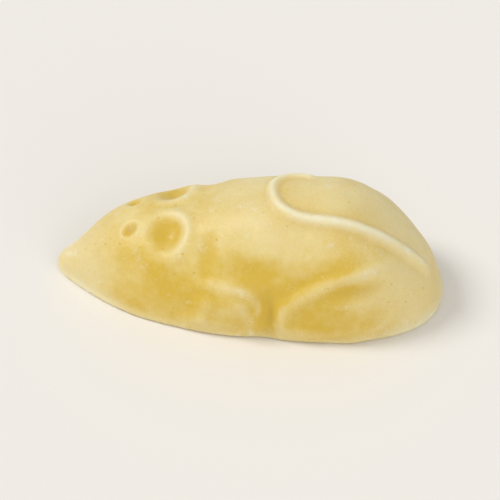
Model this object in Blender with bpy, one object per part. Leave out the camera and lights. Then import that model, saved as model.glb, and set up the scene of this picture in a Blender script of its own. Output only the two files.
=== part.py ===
"""A white chocolate mouse: one solid sweet, cast in an open mould on its flat poured base.

Metres, +Z up. The nose points to -X, the mouse's left side faces -Y, and the rim of the base
lies on Z = 0, with the origin under the middle of the length and of the width.
"""

import bpy
import numpy as np

MM = 0.001

# Driving dimensions: the box that the finished sweet fills.
LENGTH = 42.0 * MM
WIDTH = 19.2 * MM
HEIGHT = 13.5 * MM

# Plain body, before its relief. Each station gives the share of the length from the nose,
# then the shares of the half width and of the height that the body has there.
BODY_STATIONS = (
    (0.00, 0.00, 0.00),
    (0.05, 0.31, 0.33),
    (0.12, 0.54, 0.54),
    (0.21, 0.76, 0.69),
    (0.34, 0.92, 0.785),
    (0.48, 0.98, 0.92),
    (0.64, 0.98, 1.00),
    (0.76, 0.97, 0.97),
    (0.87, 0.84, 0.74),
    (0.95, 0.61, 0.42),
    (1.00, 0.00, 0.00),
)
SECTION_POWER = 2.25
PLAIN_HALF_WIDTH = 9.6 * MM
PLAIN_HEIGHT = 12.9 * MM
SMALLEST_SIZE = 1e-9

# A lobe rises over the share of its oval that its edge gives; a soft one rises all the way in.
# The centre of each oval is a share of the length, then a height or a distance from the middle.
SOFT_EDGE = 1.0

# Haunch: a leaning oval on each flank, seen from the side, with a raised rim over a long dish.
# The rim has its place and its spread as shares of the oval.
HAUNCH_CENTRE = (0.739, 3.25 * MM)
HAUNCH_RADII = (9.0 * MM, 5.0 * MM)
HAUNCH_TILT = 0.40
HAUNCH_HEIGHT = 0.75 * MM
HAUNCH_EDGE = 0.40
HAUNCH_RIM = 0.30 * MM
HAUNCH_RIM_PLACE = 0.80
HAUNCH_RIM_SPREAD = 0.15
HAUNCH_FADE = (0.72, 0.96)
HAUNCH_RIM_FADE = (0.75, 0.95)
DISH_CENTRE = (0.790, 6.5 * MM)
DISH_RADII = (4.6 * MM, 1.8 * MM)
DISH_TILT = 0.08
DISH_DEPTH = 0.55 * MM

# Hind foot: a long low lobe on the edge of the base, ahead of the haunch.
HIND_FOOT_CENTRE = (0.655, 0.9 * MM)
HIND_FOOT_RADII = (3.6 * MM, 2.0 * MM)
HIND_FOOT_HEIGHT = 0.35 * MM
HIND_FOOT_EDGE = 0.9

# Foreleg: a rounded shoulder on each flank with a crest along its top and down its back, an elbow
# that stands out, and a small paw ahead of it on the edge.
FORELEG_CENTRE = (0.456, 2.5 * MM)
FORELEG_RADII = (4.5 * MM, 5.1 * MM)
FORELEG_HEIGHT = 0.75 * MM
FORELEG_EDGE = 0.55
ELBOW_CENTRE = (0.494, 4.2 * MM)
ELBOW_RADII = (3.2 * MM, 2.8 * MM)
ELBOW_HEIGHT = 0.45 * MM
LEG_CREST_ROUTE = (
    (0.352, 5.2 * MM),
    (0.390, 5.8 * MM),
    (0.440, 6.0 * MM),
    (0.492, 5.9 * MM),
    (0.528, 5.1 * MM),
    (0.546, 3.8 * MM),
    (0.551, 2.6 * MM),
)
LEG_CREST_RADIUS = 1.05 * MM
LEG_CREST_HEIGHT = 0.26 * MM
LEG_CREST_FADE = 0.20
LEG_CREST_STEPS = 20
FOREPAW_CENTRE = (0.365, 0.9 * MM)
FOREPAW_RADII = (2.7 * MM, 2.1 * MM)
FOREPAW_HEIGHT = 0.50 * MM

# Hollows: the notch behind the foreleg, the flank above it, and the nape behind each ear.
NOTCH_CENTRE = (0.570, 2.6 * MM)
NOTCH_RADII = (1.5 * MM, 4.6 * MM)
NOTCH_DEPTH = 0.45 * MM
FLANK_CENTRE = (0.510, 7.9 * MM)
FLANK_RADII = (6.2 * MM, 2.1 * MM)
FLANK_DEPTH = 0.30 * MM
NAPE_CENTRE = (0.398, 6.0 * MM)
NAPE_RADII = (1.9 * MM, 2.4 * MM)
NAPE_DEPTH = 0.32 * MM

# Ear: a round cup on each side of the crown, seen from above, highest at its back.
EAR_CENTRE = (0.287, 3.50 * MM)
EAR_RADII = (2.60 * MM, 3.05 * MM)
EAR_TILT = -0.42
EAR_RIM_PLACE = 0.82
EAR_RIM_SPREAD = 0.30
EAR_FRONT_RIM = 0.05 * MM
EAR_BACK_RIM = 0.36 * MM
EAR_HOLLOW = 0.80 * MM

# Eye: a round pit, seen from above.
EYE_CENTRE = (0.187, 2.35 * MM)
EYE_RADIUS = 1.10 * MM
EYE_DEPTH = 0.55 * MM

# Nose: a small bead that stands forward of the base.
NOSE_HEIGHT = 1.9 * MM
NOSE_REACH = 0.75 * MM
NOSE_RADIUS = 1.7 * MM

# Tail: a tapered cord in relief, from the rump along the left of the back, hooked over the crest.
# Each point gives the share of the length and the distance to the right of the middle.
TAIL_ROUTE = (
    (0.975, -0.9 * MM),
    (0.940, -1.9 * MM),
    (0.880, -2.8 * MM),
    (0.790, -3.5 * MM),
    (0.700, -3.7 * MM),
    (0.625, -3.3 * MM),
    (0.574, -1.8 * MM),
    (0.554, 0.5 * MM),
    (0.562, 2.6 * MM),
    (0.602, 3.9 * MM),
    (0.655, 3.6 * MM),
)
TAIL_ROOT_RADIUS = 1.35 * MM
TAIL_TIP_RADIUS = 0.85 * MM
TAIL_RISE = 0.50
TAIL_ROOT_FADE = 0.12
TAIL_TIP_FADE = 0.05
TAIL_STEPS = 48

# Low on the flanks the relief fades out, so the edge of the base is one smooth outline.
FOOT_FADE_HEIGHT = 2.2 * MM
FOOT_FADE_SHARE = 0.35

# Base: a flat rim round a shallow dish, and a small round where the base meets the flank.
BASE_RIM = 1.4 * MM
BASE_SLOPE = 0.9 * MM
BASE_DISH = 0.35 * MM
EDGE_ROUND = 0.35 * MM

# Mesh: stations along the body, faces over the back and faces across the base.
STATION_COUNT = 96
BACK_FACES = 52
BASE_STEPS = (0.0, 0.08, 0.17, 0.5, 0.83, 0.92, 1.0)
END_CROWDING = 0.4

CHOCOLATE_COLOUR = (0.76, 0.62, 0.31, 1.0)
CHOCOLATE_ROUGHNESS = 0.42


def clear_scene():
    for item in list(bpy.data.objects):
        bpy.data.objects.remove(item, do_unlink=True)


def smooth_curve(knots, values, at):
    """Natural cubic spline through the knots, read at the given places."""
    knots = np.asarray(knots, dtype=float)
    values = np.asarray(values, dtype=float)
    steps = np.diff(knots)
    slopes = np.diff(values) / steps
    matrix = np.eye(len(knots))
    right = np.zeros(len(knots))
    for row in range(1, len(knots) - 1):
        matrix[row, row - 1] = steps[row - 1]
        matrix[row, row] = 2.0 * (steps[row - 1] + steps[row])
        matrix[row, row + 1] = steps[row]
        right[row] = 6.0 * (slopes[row] - slopes[row - 1])
    bends = np.linalg.solve(matrix, right)
    span = np.clip(np.searchsorted(knots, at) - 1, 0, len(steps) - 1)
    step = steps[span]
    before = (knots[span + 1] - at) / step
    after = 1.0 - before
    curve = before * values[span] + after * values[span + 1]
    bow = (before**3 - before) * bends[span] + (after**3 - after) * bends[span + 1]
    return curve + bow * step**2 / 6.0


def ramp(value):
    """0 below 0, 1 above 1, and an S-shaped rise between."""
    value = np.clip(value, 0.0, 1.0)
    return value * value * (3.0 - 2.0 * value)


def body_size(share):
    """Half width and height of the plain body at a share of the length from the nose.

    The stations are joined over the angle whose cosine runs along the body, so both ends
    close in a round and not in a point.
    """
    angle = np.arccos(1.0 - 2.0 * share)
    table = np.array(BODY_STATIONS)
    knots = np.arccos(1.0 - 2.0 * table[:, 0])
    half_width = PLAIN_HALF_WIDTH * smooth_curve(knots, table[:, 1], angle)
    height = PLAIN_HEIGHT * smooth_curve(knots, table[:, 2], angle)
    return np.maximum(half_width, 0.0), np.maximum(height, 0.0)


def along(share):
    return (share - 0.5) * LENGTH


def crest_height(share, across):
    """Height of the plain body over a point of the base."""
    half_width, height = body_size(share)
    reach = np.clip(np.abs(across) / half_width, 0.0, 1.0)
    return height * (1.0 - reach**SECTION_POWER) ** (1.0 / SECTION_POWER)


def oval(x, other, centre, radii, tilt=0.0):
    """0 at the centre of a tilted oval, 1 on its outline, more outside."""
    first = x - along(centre[0])
    second = other - centre[1]
    turned_first = first * np.cos(tilt) + second * np.sin(tilt)
    turned_second = second * np.cos(tilt) - first * np.sin(tilt)
    return np.hypot(turned_first / radii[0], turned_second / radii[1])


def lobe(distance, edge=SOFT_EDGE):
    """A raised lobe: 1 inside, and down to 0 at its outline over the given share of it."""
    return ramp((1.0 - distance) / edge)


def ridge(distance, place, spread):
    """A soft ring round an oval, 1 at its place."""
    return np.exp(-(((distance - place) / spread) ** 2))


def fade_out(x, shares):
    """1 ahead of the first share of the length, 0 behind the second."""
    start, end = (along(share) for share in shares)
    return ramp((end - x) / (end - start))


def smooth_route(route, steps):
    """Both coordinates of a smooth line through the points of a route, and the share done."""
    route = np.array(route)
    knots = np.arange(len(route), dtype=float)
    at = np.linspace(0.0, knots[-1], steps)
    first = smooth_curve(knots, route[:, 0], at)
    second = smooth_curve(knots, route[:, 1], at)
    return first, second, at / knots[-1]


def cord_relief(points, line, radii, rises):
    """A half-round cord along a line of points, each with its radius and its rise."""
    relief = np.zeros(points.shape[:-1])
    for start, end, radius, rise in zip(line[:-1], line[1:], radii, rises):
        run = end - start
        share = np.clip(((points - start) @ run) / (run @ run), 0.0, 1.0)
        gap = np.linalg.norm(points - start - share[..., None] * run, axis=-1)
        relief = np.maximum(relief, rise * lobe(gap / radius))
    return relief


def leg_crest(x, z):
    """The crest over the foreleg, as a cord seen from the side that fades at both ends."""
    share, height, done = smooth_route(LEG_CREST_ROUTE, LEG_CREST_STEPS)
    line = np.stack([along(share), height], axis=-1)
    radii = np.full(LEG_CREST_STEPS, LEG_CREST_RADIUS)
    rises = LEG_CREST_HEIGHT * ramp(done / LEG_CREST_FADE) * ramp((1.0 - done) / LEG_CREST_FADE)
    return cord_relief(np.stack([x, z], axis=-1), line, radii, rises)


def limb_relief(x, z):
    """Haunches, feet and forelegs, and the hollows between them, the same on both flanks."""
    haunch = oval(x, z, HAUNCH_CENTRE, HAUNCH_RADII, HAUNCH_TILT)
    relief = HAUNCH_HEIGHT * lobe(haunch, HAUNCH_EDGE) * fade_out(x, HAUNCH_FADE)
    rim = HAUNCH_RIM * ridge(haunch, HAUNCH_RIM_PLACE, HAUNCH_RIM_SPREAD)
    relief += rim * fade_out(x, HAUNCH_RIM_FADE)
    relief += HIND_FOOT_HEIGHT * lobe(oval(x, z, HIND_FOOT_CENTRE, HIND_FOOT_RADII), HIND_FOOT_EDGE)
    relief += FORELEG_HEIGHT * lobe(oval(x, z, FORELEG_CENTRE, FORELEG_RADII), FORELEG_EDGE)
    relief += ELBOW_HEIGHT * lobe(oval(x, z, ELBOW_CENTRE, ELBOW_RADII)) + leg_crest(x, z)
    relief += FOREPAW_HEIGHT * lobe(oval(x, z, FOREPAW_CENTRE, FOREPAW_RADII))
    relief -= DISH_DEPTH * lobe(oval(x, z, DISH_CENTRE, DISH_RADII, DISH_TILT))
    relief -= NOTCH_DEPTH * lobe(oval(x, z, NOTCH_CENTRE, NOTCH_RADII))
    relief -= FLANK_DEPTH * lobe(oval(x, z, FLANK_CENTRE, FLANK_RADII))
    return relief * (FOOT_FADE_SHARE + (1.0 - FOOT_FADE_SHARE) * ramp(z / FOOT_FADE_HEIGHT))


def head_relief(x, across):
    """Ears, eyes and the hollow of the nape, the same on both sides."""
    ear = oval(x, across, EAR_CENTRE, EAR_RADII, EAR_TILT)
    back = ramp(0.5 + 0.5 * (x - along(EAR_CENTRE[0])) / EAR_RADII[0])
    rim = EAR_FRONT_RIM + (EAR_BACK_RIM - EAR_FRONT_RIM) * back
    relief = rim * ridge(ear, EAR_RIM_PLACE, EAR_RIM_SPREAD) - EAR_HOLLOW * lobe(ear)
    relief -= EYE_DEPTH * lobe(oval(x, across, EYE_CENTRE, (EYE_RADIUS, EYE_RADIUS)))
    return relief - NAPE_DEPTH * lobe(oval(x, across, NAPE_CENTRE, NAPE_RADII))


def tail_line():
    """Points down the middle of the tail on the plain body, with the radius and rise at each."""
    share, across, done = smooth_route(TAIL_ROUTE, TAIL_STEPS)
    points = np.stack([along(share), across, crest_height(share, across)], axis=-1)
    radius = TAIL_ROOT_RADIUS + (TAIL_TIP_RADIUS - TAIL_ROOT_RADIUS) * done
    fade = ramp(done / TAIL_ROOT_FADE) * ramp((1.0 - done) / TAIL_TIP_FADE)
    return points, radius, TAIL_RISE * radius * fade


def body_grid(share, turn):
    """Plain body: rings round the spine, from the left edge of the base over to the right."""
    half_width, height = body_size(share)
    width = np.maximum(half_width, SMALLEST_SIZE)[:, None]
    tall = np.maximum(height, SMALLEST_SIZE)[:, None]
    level = np.abs(np.cos(turn)) / width
    rise = np.sin(turn) / tall
    reach = (level**SECTION_POWER + rise**SECTION_POWER) ** (-1.0 / SECTION_POWER)
    x = np.broadcast_to(along(share)[:, None], reach.shape)
    return np.stack([x, -reach * np.cos(turn), reach * np.sin(turn)], axis=-1)


def outward(points):
    """Unit normals of the grid of rings, level along the edge of the base."""
    along_rings = np.gradient(points, axis=0)
    round_rings = np.gradient(points, axis=1)
    normal = np.cross(along_rings, round_rings)
    normal[:, (0, -1), 2] = 0.0
    normal[0] = (-1.0, 0.0, 0.0)
    normal[-1] = (1.0, 0.0, 0.0)
    return normal / np.linalg.norm(normal, axis=-1, keepdims=True)


def upper_surface(share, turn):
    """The flanks and back with all their relief, as a grid of points."""
    plain = body_grid(share, turn)
    x, y, z = np.moveaxis(plain, -1, 0)
    normal = outward(plain)
    relief = limb_relief(x, z) + head_relief(x, np.abs(y)) + cord_relief(plain, *tail_line())
    relief[0] = 0.0
    relief[-1] = 0.0
    points = plain + normal * relief[..., None]
    tip = np.array([-0.5 * LENGTH, 0.0, NOSE_HEIGHT])
    gap = np.linalg.norm(points - tip, axis=-1)
    points[..., 0] -= NOSE_REACH * np.exp(-((gap / NOSE_RADIUS) ** 2))
    low = np.clip(1.0 - points[..., 2] / EDGE_ROUND, 0.0, 1.0)
    inset = EDGE_ROUND * (1.0 - np.sqrt(1.0 - low**2))
    flat_normal = normal * (1.0, 1.0, 0.0)
    return points - flat_normal * inset[..., None]


def fit_to_box(points):
    """Centre the grid over the origin and bring it to the driving dimensions."""
    low = points.reshape(-1, 3).min(axis=0)
    high = points.reshape(-1, 3).max(axis=0)
    centre = (low + high) / 2.0
    centre[2] = 0.0
    size = np.array([LENGTH, WIDTH, HEIGHT])
    return (points - centre) * size / (high - low)


def base_surface(upper):
    """The underside, ring by ring from the right edge to the left: a rim round a shallow dish."""
    left = upper[:, 0]
    right = upper[:, -1]
    step = np.array(BASE_STEPS)[None, :, None]
    points = right[:, None] * (1.0 - step) + left[:, None] * step
    half_width = (right[:, 1] - left[:, 1]) / 2.0
    taper = np.gradient(half_width, right[:, 0])
    inward = half_width[:, None] - np.abs(points[..., 1] - ((left + right) / 2.0)[:, None, 1])
    to_edge = inward / np.sqrt(1.0 + taper**2)[:, None]
    points[..., 2] = BASE_DISH * ramp((to_edge - BASE_RIM) / BASE_SLOPE)
    return points


def ring_grid():
    """Whole rings of points, over the back and then across the base."""
    even = np.linspace(0.0, 1.0, STATION_COUNT + 1)
    crowded = (1.0 - np.cos(np.pi * even)) / 2.0
    share = (1.0 - END_CROWDING) * even + END_CROWDING * crowded
    turn = np.linspace(0.0, np.pi, BACK_FACES + 1)[None, :]
    upper = fit_to_box(upper_surface(share, turn))
    return np.concatenate([upper, base_surface(upper)[:, 1:-1]], axis=1)


def rings_to_mesh(name, grid):
    """Join the rings by faces, with one point at the nose and one at the rump."""
    middle = grid[1:-1]
    stations, around = middle.shape[:2]
    points = [tuple(grid[0, 0])] + [tuple(p) for p in middle.reshape(-1, 3)] + [tuple(grid[-1, 0])]
    last = len(points) - 1
    faces = []
    for place in range(around):
        after = (place + 1) % around
        for station in range(stations - 1):
            near = 1 + station * around
            far = near + around
            faces.append((near + place, far + place, far + after, near + after))
        faces.append((0, 1 + place, 1 + after))
        rump = 1 + (stations - 1) * around
        faces.append((last, rump + after, rump + place))
    mesh = bpy.data.meshes.new(name)
    mesh.from_pydata(points, [], faces)
    mesh.validate()
    return mesh


def chocolate():
    material = bpy.data.materials.new("white_chocolate")
    material.use_nodes = True
    shader = material.node_tree.nodes["Principled BSDF"]
    shader.inputs["Base Color"].default_value = CHOCOLATE_COLOUR
    shader.inputs["Roughness"].default_value = CHOCOLATE_ROUGHNESS
    shader.inputs["Metallic"].default_value = 0.0
    return material


def add_mouse():
    mesh = rings_to_mesh("mouse", ring_grid())
    mesh.shade_smooth()
    mesh.materials.append(chocolate())
    mouse = bpy.data.objects.new("mouse", mesh)
    bpy.context.scene.collection.objects.link(mouse)
    return mouse


clear_scene()
add_mouse()
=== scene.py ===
# %% [markdown]
# # A white chocolate mouse
#
# This lesson dresses one moulded sweet: a crouching mouse of white chocolate, about 42 mm long.
# The real one is cast in a single piece in an open mould, so every part of it is low relief on a
# rounded body, and its underside is the nearly flat surface of the poured chocolate.
#
# The imported model gives the sizes. A fine surface takes the place of its coarse solid, and a
# waxy, slightly rubbed chocolate finish goes on it, with some highlights and shade painted into
# its colour. Each step says what it stands for on the sweet, how it could be made, and why it is
# made this way.

# %% Load the frame
import math
import bpy
import numpy as np
from types import SimpleNamespace
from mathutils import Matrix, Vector


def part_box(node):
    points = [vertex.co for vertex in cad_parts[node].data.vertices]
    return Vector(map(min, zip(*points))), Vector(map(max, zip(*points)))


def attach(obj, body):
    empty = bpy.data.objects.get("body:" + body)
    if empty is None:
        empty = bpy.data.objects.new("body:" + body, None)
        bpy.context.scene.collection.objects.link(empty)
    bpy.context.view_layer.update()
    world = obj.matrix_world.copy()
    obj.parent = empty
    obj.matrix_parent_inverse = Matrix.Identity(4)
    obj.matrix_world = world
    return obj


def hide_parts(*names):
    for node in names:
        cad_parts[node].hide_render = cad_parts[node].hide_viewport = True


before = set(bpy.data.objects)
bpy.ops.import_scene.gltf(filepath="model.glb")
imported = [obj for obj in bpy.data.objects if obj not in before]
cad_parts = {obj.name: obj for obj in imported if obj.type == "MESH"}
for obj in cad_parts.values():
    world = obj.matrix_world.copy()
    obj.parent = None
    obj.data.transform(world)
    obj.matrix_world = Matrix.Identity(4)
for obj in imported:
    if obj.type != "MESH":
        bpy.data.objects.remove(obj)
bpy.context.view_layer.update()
MM = 0.001
box_low, box_high = (np.array(corner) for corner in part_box("mouse"))
LENGTH, _, HEIGHT = box_high - box_low
print("the mouse fills", np.round((box_high - box_low) / MM, 2), "mm")

# %% [markdown]
# ## Small tools for shapes
#
# The relief is built from a few soft shapes: an S-shaped ramp, an oval measured from its centre
# to its outline, a raised lobe inside an oval, and a ridge round it. Modelling each limb by hand
# would look freer, but named shapes can be moved and resized by one number, and they blend.


# %% Soft shapes
SOFT_EDGE = 1.0


def ramp(value):
    """0 below 0, 1 above 1, and between them three times the square less twice the cube."""
    value = np.clip(value, 0.0, 1.0)
    return value * value * (3.0 - 2.0 * value)


def oval(first, second, centre, radii, tilt=0.0):
    """Distance from the centre of a tilted oval, in which the outline is 1."""
    first = first - centre[0]
    second = second - centre[1]
    turned_first = first * np.cos(tilt) + second * np.sin(tilt)
    turned_second = second * np.cos(tilt) - first * np.sin(tilt)
    return np.hypot(turned_first / radii[0], turned_second / radii[1])


def lobe(distance, edge=SOFT_EDGE):
    """A raised lobe: 1 inside, ramped down to 0 at the outline over the given share of it."""
    return ramp((1.0 - distance) / edge)


def ridge(distance, place, spread):
    """A soft ring: a bell curve of the distance, 1 at its place."""
    return np.exp(-(((distance - place) / spread) ** 2))


print("a lobe falls as", np.round(lobe(np.linspace(0.0, 1.0, 5), 0.5), 2))

# %% [markdown]
# ## One smooth curve through a few stations
#
# A mould maker draws a body by its widths and heights at a few stations. A natural cubic spline
# joins them: it passes through each one, and its bend changes without a jump, so no band shows
# where one span meets the next under a soft highlight.


# %% Smooth curve
def smooth_curve(knots, values, at):
    """Natural cubic spline: each span blends its two values and adds a bow from their bends."""
    knots = np.asarray(knots, dtype=float)
    values = np.asarray(values, dtype=float)
    steps = np.diff(knots)
    slopes = np.diff(values) / steps
    matrix = np.eye(len(knots))
    right = np.zeros(len(knots))
    for row in range(1, len(knots) - 1):
        matrix[row, row - 1 : row + 2] = steps[row - 1], 2.0 * (steps[row - 1] + steps[row]), steps[row]
        right[row] = 6.0 * (slopes[row] - slopes[row - 1])
    bends = np.linalg.solve(matrix, right)
    span = np.clip(np.searchsorted(knots, at) - 1, 0, len(steps) - 1)
    step = steps[span]
    before = (knots[span + 1] - at) / step
    after = 1.0 - before
    curve = before * values[span] + after * values[span + 1]
    bow = (before**3 - before) * bends[span] + (after**3 - after) * bends[span + 1]
    return curve + bow * step**2 / 6.0


# %% [markdown]
# ## The plain body
#
# Under its relief the sweet is a teardrop: a small round nose, the full width behind the middle,
# and a blunt round rump. Each station gives a share of the length, and the shares of the half
# width and of the height there. They are joined over an angle whose cosine runs along the body,
# so that both ends close in a round and not in a point.

# %% Stations of the body
BODY_STATIONS = np.array(
    (
        (0.00, 0.00, 0.00),
        (0.05, 0.31, 0.33),
        (0.12, 0.54, 0.54),
        (0.21, 0.76, 0.69),
        (0.34, 0.92, 0.785),
        (0.48, 0.98, 0.92),
        (0.64, 0.98, 1.00),
        (0.76, 0.97, 0.97),
        (0.87, 0.84, 0.74),
        (0.95, 0.61, 0.42),
        (1.00, 0.00, 0.00),
    )
)
PLAIN_HALF_WIDTH = 9.6 * MM
PLAIN_HEIGHT = 12.9 * MM
SECTION_POWER = 2.25
SMALLEST_SIZE = 1e-9


def along(share):
    return (share - 0.5) * LENGTH


def body_size(share):
    """Half width and height at a share of the length, read from the stations."""
    angle = np.arccos(1.0 - 2.0 * share)
    knots = np.arccos(1.0 - 2.0 * BODY_STATIONS[:, 0])
    half_width = PLAIN_HALF_WIDTH * smooth_curve(knots, BODY_STATIONS[:, 1], angle)
    height = PLAIN_HEIGHT * smooth_curve(knots, BODY_STATIONS[:, 2], angle)
    return np.maximum(half_width, 0.0), np.maximum(height, 0.0)


def body_grid(share, turn):
    """Rings round a line on the ground: each is half of a superellipse, turned through 180 degrees."""
    half_width, height = (np.maximum(size, SMALLEST_SIZE)[:, None] for size in body_size(share))
    level = np.abs(np.cos(turn)) / half_width
    rise = np.sin(turn) / height
    reach = (level**SECTION_POWER + rise**SECTION_POWER) ** (-1.0 / SECTION_POWER)
    x = np.broadcast_to(along(share)[:, None], reach.shape)
    return np.stack([x, -reach * np.cos(turn), reach * np.sin(turn)], axis=-1)


def crest_height(share, across):
    """Height of the plain body over a point of the base, from the same superellipse."""
    half_width, height = body_size(share)
    reach = np.clip(np.abs(across) / half_width, 0.0, 1.0)
    return height * (1.0 - reach**SECTION_POWER) ** (1.0 / SECTION_POWER)


print("half widths and heights at a quarter, the middle and three quarters, in mm:")
print(np.round(np.array(body_size(np.array([0.25, 0.5, 0.75]))) / MM, 2))

# %% [markdown]
# ## Cords in relief
#
# Two things on the sweet are long and thin: the tail, and the crest that runs along the top of
# each foreleg. A curve object laid on the body would leave a crack under it, so each is a height
# over the distance from a smooth line instead. The line may run in space or over a side view.


# %% Cords
def smooth_route(route, steps):
    """Both coordinates of a smooth line through the points of a route, and the share done."""
    route = np.array(route)
    knots = np.arange(len(route), dtype=float)
    at = np.linspace(0.0, knots[-1], steps)
    first = smooth_curve(knots, route[:, 0], at)
    second = smooth_curve(knots, route[:, 1], at)
    return first, second, at / knots[-1]


def cord_relief(points, line, radii, rises):
    """The highest lobe over the distance to each short stretch of a line."""
    relief = np.zeros(points.shape[:-1])
    for start, end, radius, rise in zip(line[:-1], line[1:], radii, rises):
        run = end - start
        share = np.clip(((points - start) @ run) / (run @ run), 0.0, 1.0)
        gap = np.linalg.norm(points - start - share[..., None] * run, axis=-1)
        relief = np.maximum(relief, rise * lobe(gap / radius))
    return relief


print("halfway along a bent route:", np.round(smooth_route(((0, 0), (1, 2), (4, 3)), 3), 2)[:, 1])

# %% [markdown]
# ## Legs and haunches
#
# On each flank the mould has a leaning oval haunch with a raised rim and a long dish under it, a
# hind foot along the edge of the base, a rounded shoulder with a crest over it and an elbow that
# stands out, a forepaw, a notch where the legs part, and a long hollow over them. They are drawn
# as seen from the side, over x and z, because that is how a flank is read, and so both flanks get
# them alike. Low down they fade, because the edge of a cast sweet is one smooth line.

# %% Relief of the limbs
HAUNCH = dict(centre=(along(0.739), 3.25 * MM), radii=(9.0 * MM, 5.0 * MM), tilt=0.40)
HAUNCH_HEIGHT = 0.75 * MM
HAUNCH_EDGE = 0.40
HAUNCH_RIM = 0.30 * MM
HAUNCH_RIM_PLACE = 0.80
HAUNCH_RIM_SPREAD = 0.15
HAUNCH_FADE = (0.72, 0.96)
HAUNCH_RIM_FADE = (0.75, 0.95)
DISH = dict(centre=(along(0.790), 6.5 * MM), radii=(4.6 * MM, 1.8 * MM), tilt=0.08)
DISH_DEPTH = 0.55 * MM
HIND_FOOT = dict(centre=(along(0.655), 0.9 * MM), radii=(3.6 * MM, 2.0 * MM))
HIND_FOOT_HEIGHT = 0.35 * MM
HIND_FOOT_EDGE = 0.9
FORELEG = dict(centre=(along(0.456), 2.5 * MM), radii=(4.5 * MM, 5.1 * MM))
FORELEG_HEIGHT = 0.75 * MM
FORELEG_EDGE = 0.55
ELBOW = dict(centre=(along(0.494), 4.2 * MM), radii=(3.2 * MM, 2.8 * MM))
ELBOW_HEIGHT = 0.45 * MM
LEG_CREST_ROUTE = (
    (0.352, 5.2 * MM),
    (0.390, 5.8 * MM),
    (0.440, 6.0 * MM),
    (0.492, 5.9 * MM),
    (0.528, 5.1 * MM),
    (0.546, 3.8 * MM),
    (0.551, 2.6 * MM),
)
LEG_CREST_RADIUS = 1.05 * MM
LEG_CREST_HEIGHT = 0.26 * MM
LEG_CREST_FADE = 0.20
LEG_CREST_STEPS = 40
FOREPAW = dict(centre=(along(0.365), 0.9 * MM), radii=(2.7 * MM, 2.1 * MM))
FOREPAW_HEIGHT = 0.50 * MM
NOTCH = dict(centre=(along(0.570), 2.6 * MM), radii=(1.5 * MM, 4.6 * MM))
NOTCH_DEPTH = 0.45 * MM
FLANK = dict(centre=(along(0.510), 7.9 * MM), radii=(6.2 * MM, 2.1 * MM))
FLANK_DEPTH = 0.30 * MM
FOOT_FADE_HEIGHT = 2.2 * MM
FOOT_FADE_SHARE = 0.35


def fade_out(x, shares):
    """1 ahead of the first share of the length, ramped down to 0 at the second."""
    start, end = (along(share) for share in shares)
    return ramp((end - x) / (end - start))


def leg_crest(x, z):
    """A cord along the crest's line in the side view, ramped down to nothing at both ends."""
    share, height, done = smooth_route(LEG_CREST_ROUTE, LEG_CREST_STEPS)
    line = np.stack([along(share), height], axis=-1)
    radii = np.full(LEG_CREST_STEPS, LEG_CREST_RADIUS)
    rises = LEG_CREST_HEIGHT * ramp(done / LEG_CREST_FADE) * ramp((1.0 - done) / LEG_CREST_FADE)
    return cord_relief(np.stack([x, z], axis=-1), line, radii, rises)


def limb_relief(x, z):
    """Sum of the lobes of the limbs less the three hollows, scaled down towards the ground."""
    haunch = oval(x, z, **HAUNCH)
    relief = HAUNCH_HEIGHT * lobe(haunch, HAUNCH_EDGE) * fade_out(x, HAUNCH_FADE)
    rim = HAUNCH_RIM * ridge(haunch, HAUNCH_RIM_PLACE, HAUNCH_RIM_SPREAD)
    relief += rim * fade_out(x, HAUNCH_RIM_FADE) - DISH_DEPTH * lobe(oval(x, z, **DISH))
    relief += FORELEG_HEIGHT * lobe(oval(x, z, **FORELEG), FORELEG_EDGE)
    relief += ELBOW_HEIGHT * lobe(oval(x, z, **ELBOW))
    relief += FOREPAW_HEIGHT * lobe(oval(x, z, **FOREPAW)) + leg_crest(x, z)
    relief += HIND_FOOT_HEIGHT * lobe(oval(x, z, **HIND_FOOT), HIND_FOOT_EDGE)
    relief -= NOTCH_DEPTH * lobe(oval(x, z, **NOTCH)) + FLANK_DEPTH * lobe(oval(x, z, **FLANK))
    return relief * (FOOT_FADE_SHARE + (1.0 - FOOT_FADE_SHARE) * ramp(z / FOOT_FADE_HEIGHT))


side_x, side_z = np.meshgrid(np.linspace(-0.5, 0.5, 80) * LENGTH, np.linspace(0.0, HEIGHT, 30))
side_relief = limb_relief(side_x, side_z) / MM
print("the limbs rise", round(side_relief.max(), 2), "mm and sink", round(-side_relief.min(), 2), "mm")

# %% [markdown]
# ## Ears and eyes
#
# Each ear is a round cup on the crown, hollow in the middle, with a rim that stands highest at
# its back, and behind it the nape dips. Each eye is a round pit. They are drawn as seen from
# above, over x and the distance from the middle, which makes the two sides twins.

# %% Relief of the head
EAR = dict(centre=(along(0.287), 3.50 * MM), radii=(2.60 * MM, 3.05 * MM), tilt=-0.42)
EAR_RIM_PLACE = 0.82
EAR_RIM_SPREAD = 0.30
EAR_FRONT_RIM = 0.05 * MM
EAR_BACK_RIM = 0.36 * MM
EAR_HOLLOW = 0.80 * MM
EYE = dict(centre=(along(0.187), 2.35 * MM), radii=(1.10 * MM, 1.10 * MM))
EYE_DEPTH = 0.55 * MM
NAPE = dict(centre=(along(0.398), 6.0 * MM), radii=(1.9 * MM, 2.4 * MM))
NAPE_DEPTH = 0.32 * MM


def head_relief(x, across):
    """A rim round each ear that rises to its back, less the hollows of ear, eye and nape."""
    ear = oval(x, across, **EAR)
    back = ramp(0.5 + 0.5 * (x - EAR["centre"][0]) / EAR["radii"][0])
    rim = EAR_FRONT_RIM + (EAR_BACK_RIM - EAR_FRONT_RIM) * back
    relief = rim * ridge(ear, EAR_RIM_PLACE, EAR_RIM_SPREAD) - EAR_HOLLOW * lobe(ear)
    relief -= EYE_DEPTH * lobe(oval(x, across, **EYE))
    return relief - NAPE_DEPTH * lobe(oval(x, across, **NAPE))


print("the middle of an ear lies", round(-head_relief(*EAR["centre"]) / MM, 2), "mm deep")

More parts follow.
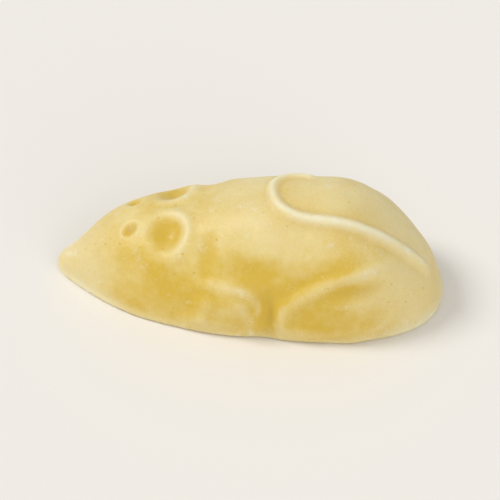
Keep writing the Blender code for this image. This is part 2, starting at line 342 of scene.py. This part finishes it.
# %% [markdown]
# ## The tail
#
# The tail runs from the rump along the left of the back, hooks over the crest of the back behind
# the shoulders, and ends on the right side. Its line lies on the plain body, and it gets thinner
# towards its tip. A tail that stood clear of the back could not be drawn out of an open mould.

# %% Relief of the tail
TAIL_ROUTE = (
    (0.975, -0.9 * MM),
    (0.940, -1.9 * MM),
    (0.880, -2.8 * MM),
    (0.790, -3.5 * MM),
    (0.700, -3.7 * MM),
    (0.625, -3.3 * MM),
    (0.574, -1.8 * MM),
    (0.554, 0.5 * MM),
    (0.562, 2.6 * MM),
    (0.602, 3.9 * MM),
    (0.655, 3.6 * MM),
)
TAIL_ROOT_RADIUS = 1.35 * MM
TAIL_TIP_RADIUS = 0.85 * MM
TAIL_RISE = 0.50
TAIL_ROOT_FADE = 0.12
TAIL_TIP_FADE = 0.05
TAIL_STEPS = 48


def tail_line():
    """Points on the plain body down the middle of the tail, with its radius and rise at each."""
    share, across, done = smooth_route(TAIL_ROUTE, TAIL_STEPS)
    points = np.stack([along(share), across, crest_height(share, across)], axis=-1)
    radius = TAIL_ROOT_RADIUS + (TAIL_TIP_RADIUS - TAIL_ROOT_RADIUS) * done
    fade = ramp(done / TAIL_ROOT_FADE) * ramp((1.0 - done) / TAIL_TIP_FADE)
    return points, radius, TAIL_RISE * radius * fade


tail_points = tail_line()[0]
tail_steps = np.linalg.norm(np.diff(tail_points, axis=0), axis=1)
print("the tail is", round(float(tail_steps.sum() / MM), 1), "mm long")

# %% [markdown]
# ## Marks of casting and handling
#
# No cast sweet is perfectly smooth. It has slow waves from cooling unevenly, shallow dents from
# the other sweets it was tumbled with, and small nicks along its lower edge. The waves are a sum
# of sine waves in seeded random directions, and the dents and nicks are seeded bell-shaped
# hollows. All are small against the relief.

# %% Waves and dents
WAVE_LENGTH = 7.0 * MM
WAVE_HEIGHT = 0.07 * MM
WAVE_COUNT = 9
WAVE_RANGE = (0.7, 1.5)
DENT_COUNT = 70
DENT_RADII = (0.25 * MM, 1.1 * MM)
DENT_DEPTH_SHARE = 0.07
NICK_COUNT = 26
NICK_RADII = (0.20 * MM, 0.45 * MM)
NICK_DEPTH_SHARE = 0.16
NICK_HEIGHT = 0.9 * MM
UNMARKED_SHARE = 0.05
chance = np.random.default_rng(11)


def waves(points, length, height):
    """Sum of sine waves along random directions over the root of their number, times the height."""
    total = np.zeros(points.shape[:-1])
    for _ in range(WAVE_COUNT):
        direction = chance.normal(size=3)
        direction /= np.linalg.norm(direction)
        turns = 2.0 * np.pi / (length * chance.uniform(*WAVE_RANGE))
        total += np.sin(points @ direction * turns + chance.uniform(0.0, 2.0 * np.pi))
    return height * total / math.sqrt(WAVE_COUNT)


def hollows(points, places, count, radii, depth_share):
    """Bell-shaped hollows at random places, each as deep as a share of its own radius."""
    total = np.zeros(points.shape[:-1])
    for _ in range(count):
        centre = places[chance.integers(len(places))]
        radius = chance.uniform(*radii)
        gap = np.linalg.norm(points - centre, axis=-1)
        total -= depth_share * radius * np.exp(-((gap / radius) ** 2))
    return total


def marks_on(points):
    """Waves and dents that fade towards the ground, and nicks near it, none centred at the ends."""
    height = points[..., 2]
    end_rings = int(UNMARKED_SHARE * len(points))
    inner = points[end_rings:-end_rings].reshape(-1, 3)
    low = inner[(inner[:, 2] < NICK_HEIGHT) & (inner[:, 2] > 0.0)]
    slow = waves(points, WAVE_LENGTH, WAVE_HEIGHT)
    slow += hollows(points, inner, DENT_COUNT, DENT_RADII, DENT_DEPTH_SHARE)
    nicks = hollows(points, low, NICK_COUNT, NICK_RADII, NICK_DEPTH_SHARE)
    return slow * ramp(height / FOOT_FADE_HEIGHT) + nicks


deepest_dent = DENT_DEPTH_SHARE * DENT_RADII[1] / MM
print(DENT_COUNT, "dents up to", round(deepest_dent, 3), "mm deep, and", NICK_COUNT, "nicks")

# %% [markdown]
# ## From plain body to mouse
#
# The relief moves each point of the body along its outward normal. A thin lip stands out just
# above the base, where the chocolate met the brim of the mould. The nose is then drawn forward
# into a bead, and the lowest edge is rounded in. All points of the first ring are one point, and
# so are those of the last, so each takes the relief of its neighbour. At the end the grid is
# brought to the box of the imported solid, so the sizes are the same.

# %% The upper surface
NOSE_HEIGHT = 1.9 * MM
NOSE_REACH = 0.75 * MM
NOSE_RADIUS = 1.7 * MM
EDGE_ROUND = 0.35 * MM
LIP_HEIGHT = 0.50 * MM
LIP_SPREAD = 0.35 * MM
LIP_REACH = 0.16 * MM


def outward(points):
    """Unit normals: the cross product of the grid's two directions, level along the base."""
    normal = np.cross(np.gradient(points, axis=0), np.gradient(points, axis=1))
    normal[:, (0, -1), 2] = 0.0
    normal[0] = (-1.0, 0.0, 0.0)
    normal[-1] = (1.0, 0.0, 0.0)
    return normal / np.linalg.norm(normal, axis=-1, keepdims=True)


def upper_surface(share, turn):
    """Plain body plus its relief along the normal, with the nose drawn out and the edge rounded."""
    plain = body_grid(share, turn)
    x, y, z = np.moveaxis(plain, -1, 0)
    normal = outward(plain)
    shape = limb_relief(x, z) + head_relief(x, np.abs(y)) + cord_relief(plain, *tail_line())
    relief = shape + LIP_REACH * ridge(z, LIP_HEIGHT, LIP_SPREAD) + marks_on(plain)
    relief[0] = relief[1, 0]
    relief[-1] = relief[-2, 0]
    points = plain + normal * relief[..., None]
    tip = np.array([-0.5 * LENGTH, 0.0, NOSE_HEIGHT])
    gap = np.linalg.norm(points - tip, axis=-1)
    points[..., 0] -= NOSE_REACH * np.exp(-((gap / NOSE_RADIUS) ** 2))
    low = np.clip(1.0 - points[..., 2] / EDGE_ROUND, 0.0, 1.0)
    inset = EDGE_ROUND * (1.0 - np.sqrt(1.0 - low**2))
    return points - normal * (1.0, 1.0, 0.0) * inset[..., None], shape


def fit_to_box(points):
    """Scale and shift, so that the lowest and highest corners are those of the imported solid."""
    low = points.reshape(-1, 3).min(axis=0)
    high = points.reshape(-1, 3).max(axis=0)
    return box_low + (points - low) * (box_high - box_low) / (high - low)


print("the nose is drawn", NOSE_REACH / MM, "mm ahead of the plain body")

# %% [markdown]
# ## The underside
#
# The open side of the mould leaves a flat rim where the chocolate clung to the wall, round a
# shallow dish where it shrank as it set. Each ring of the body is closed across this underside,
# so that the sweet is one closed skin.

# %% The underside
BASE_RIM = 1.4 * MM
BASE_SLOPE = 0.9 * MM
BASE_DISH = 0.35 * MM
RIPPLE_LENGTH = 5.0 * MM
RIPPLE_HEIGHT = 0.05 * MM


def crowded(count, share):
    """Steps from 0 to 1 that come closer together towards both ends."""
    even = np.linspace(0.0, 1.0, count + 1)
    return (1.0 - share) * even + share * (1.0 - np.cos(np.pi * even)) / 2.0


def base_surface(upper, steps):
    """Straight lines from edge to edge, raised by a ramp over the distance from the edge."""
    left = upper[:, 0]
    right = upper[:, -1]
    step = steps[None, :, None]
    points = right[:, None] * (1.0 - step) + left[:, None] * step
    half_width = (right[:, 1] - left[:, 1]) / 2.0
    taper = np.gradient(half_width, right[:, 0])
    middle = ((left + right) / 2.0)[:, None, 1]
    to_edge = (half_width[:, None] - np.abs(points[..., 1] - middle)) / np.sqrt(1.0 + taper**2)[:, None]
    inside = ramp((to_edge - BASE_RIM) / BASE_SLOPE)
    ripple = waves(points, RIPPLE_LENGTH, RIPPLE_HEIGHT)
    points[..., 2] = inside * (BASE_DISH + ripple)
    return points


print("the dish underneath is", round(BASE_DISH / MM, 2), "mm deep")

# %% [markdown]
# ## Rings into a mesh
#
# The grid has about 96,000 points, a tenth of a millimetre apart along the body. That holds the
# eyes, the tail and the rounded edge as real shape. The first and last rings are single points,
# and a few small rings stand close to each of them, so that the edge is rounded there as well.

# %% Build the mesh
STATION_COUNT = 392
BACK_FACES = 208
BASE_FACES = 32
END_CROWDING = 0.4
EDGE_CROWDING = 0.65
SMALL_RINGS = 5


def ring_mesh(name, grid):
    """Squares between neighbouring rings, and a fan of triangles round the point at each end."""
    middle = grid[1:-1]
    rings, around = middle.shape[:2]
    points = np.concatenate([grid[:1, 0], middle.reshape(-1, 3), grid[-1:, 0]])
    place = np.arange(around)
    after = (place + 1) % around
    near = 1 + np.arange(rings - 1)[:, None] * around
    far = near + around
    squares = np.stack([near + place, far + place, far + after, near + after], axis=-1).reshape(-1, 4)
    last_ring = 1 + (rings - 1) * around
    nose = np.stack([np.zeros_like(place), 1 + place, 1 + after], axis=-1)
    rump = np.stack([np.full_like(place, len(points) - 1), last_ring + after, last_ring + place], axis=-1)
    mesh = bpy.data.meshes.new(name)
    mesh.from_pydata(points.tolist(), [], squares.tolist() + nose.tolist() + rump.tolist())
    mesh.shade_smooth()
    return mesh


def with_small_rings(share):
    """More stations before the first step and after the last, at even steps of the ring's radius."""
    small = share[1] * (np.arange(1, SMALL_RINGS + 1) / (SMALL_RINGS + 1)) ** 2
    return np.concatenate([share[:1], small, share[1:-1], 1.0 - small[::-1], share[-1:]])


share = with_small_rings(crowded(STATION_COUNT, END_CROWDING))
turn = np.linspace(0.0, np.pi, BACK_FACES + 1)[None, :]
upper, shape = upper_surface(share, turn)
upper = fit_to_box(upper)
base = base_surface(upper, crowded(BASE_FACES, EDGE_CROWDING))[:, 1:-1]
grid = np.concatenate([upper, base], axis=1)
mouse_mesh = ring_mesh("white_chocolate_mouse", grid)
mouse = bpy.data.objects.new("white_chocolate_mouse", mouse_mesh)
bpy.context.scene.collection.objects.link(mouse)
print("the mouse has", len(mouse_mesh.vertices), "points and", len(mouse_mesh.polygons), "faces")

# %% [markdown]
# ## Where the sweet is rubbed, and where light and shade are painted
#
# Sweets that are tumbled together get paler on their ridges. Here that wear is mixed with painted
# highlights: the ridges, the top of the back and a band along the foot are made paler as if lit,
# and the hollows, the creases and the lower flank get a deeper, warmer colour as painted shade.
# Both come from the same sum: the relief less its own blurred copy is positive on a ridge and
# negative in a hollow. A narrow blur finds the creases, and a wide one the long hollows of the
# flank. Nose and rump stick out and are rubbed most, and their paleness is partly painted
# reflection. The sum for the painted shade levels off, so that the deepest hollows still show
# their mottle. The result is stored as attributes of the mesh, so that the colour follows the
# shape from every side.

# %% Rubbed ridges and hollows
NARROW_BLUR = 60
WIDE_BLUR = 900
RIDGE_SCALE = 0.30 * MM
DEEP_SCALE = 0.45 * MM
CREST_HIGHLIGHT_HEIGHTS = (8.0 * MM, 13.0 * MM)
CREST_HIGHLIGHT_SHARE = 0.45
FLANK_SHADE_HEIGHTS = (10.5 * MM, 5.0 * MM)
FLANK_SHADE_SHARE = 0.50
WIDE_SHARE = 0.65
EDGE_HIGHLIGHT_BAND = 1.1 * MM
EDGE_HIGHLIGHT_SHARE = 0.7
END_BAND = (0.25, 0.44)
END_SHARE = 0.5
REST_SHARE = 0.5


def blurred(values, passes):
    """Half of each value and half of the mean of its four neighbours, taken again and again."""
    for _ in range(passes):
        padded = np.pad(values, 1, mode="edge")
        across = padded[:-2, 1:-1] + padded[2:, 1:-1]
        values = (values * 4 + across + padded[1:-1, :-2] + padded[1:-1, 2:]) / 8
    return values


above_neighbours = (shape - blurred(shape, NARROW_BLUR)) / RIDGE_SCALE
below_surround = (blurred(shape, WIDE_BLUR) - shape) / DEEP_SCALE
# Painted highlight: a pale band along the foot of the body, where its rounded edge catches light.
painted_edge_highlight = EDGE_HIGHLIGHT_SHARE * np.exp(-((upper[..., 2] / EDGE_HIGHLIGHT_BAND) ** 2))
# Nose and rump are made paler: partly wear, partly painted reflection.
from_middle = np.abs(upper[..., 0]) / LENGTH
ends = ramp((from_middle - END_BAND[0]) / (END_BAND[1] - END_BAND[0]))
# Painted highlight: the top of the back is paler, as if lit from above.
painted_crest_highlight = CREST_HIGHLIGHT_SHARE * ramp((upper[..., 2] - CREST_HIGHLIGHT_HEIGHTS[0]) / (CREST_HIGHLIGHT_HEIGHTS[1] - CREST_HIGHLIGHT_HEIGHTS[0]))
# Ridges are paler: partly wear, partly painted highlight, the bright side of the sum that paints shade into
# creases.
ridge_wear_and_highlight = np.clip(above_neighbours, 0.0, 1.0)
rest_rub = REST_SHARE * (1.0 - np.clip(base[..., 2] / BASE_DISH, 0.0, 1.0))
# Wear and painted highlight in one sum; the flat rim underneath is worn paler where the sweet rests.
rub_and_painted_highlight = np.concatenate([ridge_wear_and_highlight + painted_edge_highlight + painted_crest_highlight + END_SHARE * ends, rest_rub], axis=1)
# Painted shade: the lower flank, the creases and the long hollows get a deeper, warmer colour, standing in
# for shade and warm light thrown back from other sweets.
low_down = ramp((FLANK_SHADE_HEIGHTS[0] - upper[..., 2]) / (FLANK_SHADE_HEIGHTS[0] - FLANK_SHADE_HEIGHTS[1]))
painted_flank_shade = FLANK_SHADE_SHARE * low_down * (1.0 - ends)
crease_shade = np.clip(-above_neighbours, 0.0, 1.0) + WIDE_SHARE * np.clip(below_surround, 0.0, 1.0)
levelled_off = 1.0 - np.exp(-(crease_shade + painted_flank_shade))
painted_shade = np.concatenate([levelled_off, np.zeros(base.shape[:2])], axis=1)


def store(mesh, name, values):
    """One number a point, for the points between the two ends, with 0 at the ends."""
    inner = values[1:-1].reshape(-1)
    layer = mesh.attributes.new(name, "FLOAT", "POINT")
    layer.data.foreach_set("value", np.concatenate([[0.0], inner, [0.0]]).astype(np.float32))
    print(name, "is over a half on", round(100.0 * float((inner > 0.5).mean()), 1), "% of the points")


# Stored on the mesh: paleness of wear and painted highlight, then painted shade.
store(mouse_mesh, "rub_and_painted_highlight", rub_and_painted_highlight)
store(mouse_mesh, "painted_shade", painted_shade)

# %% [markdown]
# ## Shader maths in plain Python
#
# A finish needs sums such as "more colour where it is hollow, less where it is rubbed". Wiring
# each Math node by hand hides the sum, so one small class wraps a socket: its operators add the
# nodes, and one method adds every other kind of node.


# %% A socket that can be added up
class Value:
    """An output socket of a material, which can be used like a number."""

    def __init__(self, tree, socket=None):
        self.tree = tree
        self.socket = socket

    def node(self, kind, settings, inputs, output=0):
        """Add a node of a kind, set it up, then give its sockets values or links."""
        made = self.tree.nodes.new(kind)
        for name, setting in settings.items():
            setattr(made, name, setting)
        for key, value in inputs.items():
            if isinstance(value, Value):
                self.tree.links.new(value.socket, made.inputs[key])
            else:
                made.inputs[key].default_value = value
        return Value(self.tree, made.outputs[output])

    def sum_of(self, operation, first, second):
        return self.node("ShaderNodeMath", {"operation": operation}, {0: first, 1: second})

    def __add__(self, other):
        return self.sum_of("ADD", self, other)

    __radd__ = __add__

    def __sub__(self, other):
        return self.sum_of("SUBTRACT", self, other)

    def __rsub__(self, other):
        return self.sum_of("SUBTRACT", other, self)

    def __mul__(self, other):
        return self.sum_of("MULTIPLY", self, other)

    __rmul__ = __mul__

    def clamped(self):
        return self.node("ShaderNodeClamp", {}, {"Value": self})


def srgb(red, green, blue):
    """A colour as seen on a screen, 0 to 255, turned into the linear values that nodes use."""
    channels = []
    for channel in (red, green, blue):
        shade = channel / 255.0
        channels.append(shade / 12.92 if shade <= 0.04045 else ((shade + 0.055) / 1.055) ** 2.4)
    return (*channels, 1.0)


print("half way to white on a screen is", round(srgb(128, 128, 128)[0], 3), "of the light")

# %% [markdown]
# ## White chocolate
#
# White chocolate is a cream-yellow, slightly see-through fat with a soft sheen. Its colour is
# not even: clouds of several millimetres, a finer mottle, and ragged dull patches where it was
# rubbed. The paler ridges are partly wear and partly painted highlight, and the deeper hollows
# are painted shade. It holds small air bubbles, and the skin cuts some of them open as pinholes,
# whose deeper colour is painted shade. A flat colour would look like plastic. The clouds are 3-D
# noise and the bubbles are points scattered in the object's own space, so both run through the
# sweet without a seam, and light is let a little way under the skin.

# %% Patterns in the skin
CLOUD = dict(size=6.0 * MM, detail=3.0, roughness=0.5)
MOTTLE = dict(size=1.3 * MM, detail=4.0, roughness=0.6)
SCUFF = dict(size=2.6 * MM, detail=8.0, roughness=0.72)
GRAIN = dict(size=0.22 * MM, detail=3.0, roughness=0.6)
SCUFF_START = 0.56
SCUFF_CONTRAST = 7.0
BUBBLE_SPACING = 1.25 * MM
BUBBLE_RADIUS = 0.14 * MM


def noise(where, size, detail, roughness):
    """Soft 3-D noise between 0 and 1, with grains of about the given size."""
    inputs = {"Vector": where, "Scale": 1.0 / size, "Detail": detail, "Roughness": roughness}
    return where.node("ShaderNodeTexNoise", {}, inputs)


def open_bubbles(where):
    """1 at the middle of a bubble, falling evenly to 0 at its wall, on the nearest of many points."""
    inputs = {"Vector": where, "Scale": 1.0 / BUBBLE_SPACING, "Randomness": 1.0}
    gap = where.node("ShaderNodeTexVoronoi", {}, inputs, "Distance")
    return (1.0 - gap * (BUBBLE_SPACING / BUBBLE_RADIUS)).clamped()


def skin_patterns(start):
    """The four noises and the bubbles in the object's own space, and what the mesh has stored."""
    where = start.node("ShaderNodeTexCoord", {}, {}, "Object")
    return SimpleNamespace(
        # Wear with painted highlight, and painted shade, as stored on the mesh.
        rub_and_highlight=start.node("ShaderNodeAttribute", {"attribute_name": "rub_and_painted_highlight"}, {}, "Fac"),
        shade_in_hollows=start.node("ShaderNodeAttribute", {"attribute_name": "painted_shade"}, {}, "Fac"),
        cloud=noise(where, **CLOUD),
        mottle=noise(where, **MOTTLE),
        grain=noise(where, **GRAIN),
        scuff=((noise(where, **SCUFF) - SCUFF_START) * SCUFF_CONTRAST).clamped(),
        bubble=open_bubbles(where),
    )


print("clouds of", CLOUD["size"] / MM, "mm, bubbles", round(2.0 * BUBBLE_RADIUS / MM, 2), "mm across")

# %% [markdown]
# ## Sums of the patterns
#
# Each look of the skin is a sum of the patterns, each with its own weight. How deep the colour is
# grows with the clouds and the mottle, and with painted shade in the hollows, on the lower flank
# and in the bubbles. How pale it is grows where it is rubbed or scuffed, and with painted
# highlights on the ridges, the back, the ends and the foot. Dull skin is rough, and the bumps of
# the skin are a few hundredths of a millimetre high. A noise swings round a half, so a half is
# taken off where it should even out.

# %% The chocolate finish
CREAM = srgb(235, 215, 146)
DEEP = srgb(221, 187, 70)
PALE = srgb(239, 231, 199)
HALF = 0.5
DEEP_START = 0.38
DEEP_BY_CLOUD = 2.2
DEEP_BY_MOTTLE = 1.2
DEEP_BY_PAINTED_SHADE = 0.95
DEEP_BY_BUBBLE_SHADE = 1.5
PALE_BY_RUB_AND_HIGHLIGHT = 0.35
PALE_BY_MOTTLED_RUB_AND_HIGHLIGHT = 0.8
PALE_BY_SCUFF = 0.45
PALE_BY_GRAIN = 0.5
PALE_GRAIN_START = 0.6
ROUGH_START = 0.44
ROUGH_BY_MOTTLE = 0.25
ROUGH_BY_RUB = 0.08
ROUGH_BY_SCUFF = 0.14
HIGH_BY_GRAIN = 0.35
HIGH_BY_MOTTLE = 0.65
HIGH_BY_SCUFF = 0.12
LOW_BY_BUBBLE = 2.2
SKIN_DEPTH = 0.06 * MM
BUMP_STRENGTH = 0.6
GLOW_WEIGHT = 0.45
GLOW_REACH = (1.0, 0.85, 0.5)
GLOW_DEPTH = 1.2 * MM
FAT_IOR = 1.46


def colour_mix(factor, first, second):
    return factor.node("ShaderNodeMix", {"data_type": "RGBA"}, {0: factor, 6: first, 7: second}, 2)


def chocolate_colour(skin):
    """Cream mixed with deep tone and painted shade, then with pale wear and painted highlight."""
    deep = DEEP_START + (skin.cloud - HALF) * DEEP_BY_CLOUD + (skin.mottle - HALF) * DEEP_BY_MOTTLE
    # Painted shade: the colour is deeper in the hollows, on the lower flank and inside the open bubbles.
    deep = deep + skin.shade_in_hollows * DEEP_BY_PAINTED_SHADE + skin.bubble * DEEP_BY_BUBBLE_SHADE
    # Paler for wear and scuffs, and for the painted highlights on ridges, back, ends and foot.
    pale = skin.rub_and_highlight * (PALE_BY_RUB_AND_HIGHLIGHT + skin.mottle * PALE_BY_MOTTLED_RUB_AND_HIGHLIGHT) + skin.scuff * PALE_BY_SCUFF
    pale = pale + (skin.grain - PALE_GRAIN_START) * PALE_BY_GRAIN
    return colour_mix(pale.clamped(), colour_mix(deep.clamped(), CREAM, DEEP), PALE)


def chocolate_roughness(skin):
    """A soft sheen, duller where the skin is mottled or scuffed, and where the rub-and-highlight value is
    high.
    """
    rough = ROUGH_START + (skin.mottle - HALF) * ROUGH_BY_MOTTLE
    return rough + skin.rub_and_highlight * ROUGH_BY_RUB + skin.scuff * ROUGH_BY_SCUFF


def chocolate_bumps(skin):
    """Grain, mottle and scuffs stand up, and the open bubbles are pits."""
    height = skin.grain * HIGH_BY_GRAIN + skin.mottle * HIGH_BY_MOTTLE + skin.scuff * HIGH_BY_SCUFF
    height = height - skin.bubble * LOW_BY_BUBBLE
    inputs = {"Strength": BUMP_STRENGTH, "Distance": SKIN_DEPTH, "Height": height}
    return height.node("ShaderNodeBump", {}, inputs, "Normal")


def chocolate():
    """The three sums on the shader, with an even glow from under the skin."""
    material = bpy.data.materials.new("white_chocolate")
    material.use_nodes = True
    tree = material.node_tree
    shader = tree.nodes["Principled BSDF"]
    skin = skin_patterns(Value(tree))
    tree.links.new(chocolate_colour(skin).socket, shader.inputs["Base Color"])
    tree.links.new(chocolate_roughness(skin).socket, shader.inputs["Roughness"])
    tree.links.new(chocolate_bumps(skin).socket, shader.inputs["Normal"])
    shader.inputs["Subsurface Weight"].default_value = GLOW_WEIGHT
    shader.inputs["Subsurface Radius"].default_value = GLOW_REACH
    shader.inputs["Subsurface Scale"].default_value = GLOW_DEPTH
    shader.inputs["IOR"].default_value = FAT_IOR
    return material


mouse_mesh.materials.append(chocolate())
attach(mouse, "root")
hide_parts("mouse")
print("the finish has", len(mouse_mesh.materials[0].node_tree.nodes), "nodes")

# %% [markdown]
# ## Floor and light
#
# The floor is plain and pale. One broad soft light comes slanting from the nose, so that each
# ridge and hollow shows by its shade. A weaker one fills in from the front, on the rump's side,
# and a white surround keeps the shadows open. Both are sun lamps: their light is as strong on
# near floor as on far floor. Where a lamp stands only sets the direction of its light.

# %% Floor and lamps
FLOOR_HALF = 30.0
FLOOR_COLOUR = srgb(243, 239, 232)
FLOOR_ROUGHNESS = 0.55
WORLD_STRENGTH = 0.50
KEY = dict(place=(-0.24, 0.0, 0.27), spread=22.0, strength=1.45)
FILL = dict(place=(0.22, -0.30, 0.24), spread=50.0, strength=0.8)


def add_floor():
    mesh = bpy.data.meshes.new("floor")
    corners = [(-1, -1), (1, -1), (1, 1), (-1, 1)]
    mesh.from_pydata([(x * FLOOR_HALF, y * FLOOR_HALF, box_low[2]) for x, y in corners], [], [(0, 1, 2, 3)])
    material = bpy.data.materials.new("floor")
    material.use_nodes = True
    shader = material.node_tree.nodes["Principled BSDF"]
    shader.inputs["Base Color"].default_value = FLOOR_COLOUR
    shader.inputs["Roughness"].default_value = FLOOR_ROUGHNESS
    mesh.materials.append(material)
    floor = bpy.data.objects.new("floor", mesh)
    bpy.context.scene.collection.objects.link(floor)


def add_lamp(name, place, spread, strength):
    lamp = bpy.data.lights.new(name, "SUN")
    lamp.angle = math.radians(spread)
    lamp.energy = strength
    holder = bpy.data.objects.new(name, lamp)
    holder.location = place
    holder.rotation_euler = (-Vector(place)).to_track_quat("-Z", "Y").to_euler()
    bpy.context.scene.collection.objects.link(holder)


world = bpy.data.worlds.new("surround")
world.use_nodes = True
world.node_tree.nodes["Background"].inputs["Color"].default_value = (1.0, 1.0, 1.0, 1.0)
world.node_tree.nodes["Background"].inputs["Strength"].default_value = WORLD_STRENGTH
bpy.context.scene.world = world
add_floor()
add_lamp("key", **KEY)
add_lamp("fill", **FILL)
bpy.context.scene.view_settings.view_transform = "Standard"
print("the lamps are", KEY["spread"], "and", FILL["spread"], "degrees across")

# %% [markdown]
# ## Camera
#
# In the photograph the mouse is seen from its left side and from above, from so far away that
# its lines hardly converge. A long lens gives the same view, close enough to show the relief.

# %% Camera
VIEW_AZIMUTH = 6.0
VIEW_ELEVATION = 42.0
LENS_MM = 400.0
FRAME_WIDTH = 54.0 * MM
AIM = Vector((0.0, 0.0, 4.6 * MM))
NEAR_SHARE = 0.05


def add_camera():
    camera = bpy.data.cameras.new("camera")
    camera.lens = LENS_MM
    distance = FRAME_WIDTH * LENS_MM / camera.sensor_width
    azimuth = math.radians(VIEW_AZIMUTH)
    elevation = math.radians(VIEW_ELEVATION)
    level = math.cos(elevation)
    back = Vector((math.sin(azimuth) * level, -math.cos(azimuth) * level, math.sin(elevation)))
    holder = bpy.data.objects.new("camera", camera)
    holder.location = AIM + back * distance
    holder.rotation_euler = (-back).to_track_quat("-Z", "Y").to_euler()
    camera.clip_start = distance * NEAR_SHARE
    bpy.context.scene.collection.objects.link(holder)
    bpy.context.scene.camera = holder
    return distance


print("the camera stands", round(add_camera(), 3), "m away")
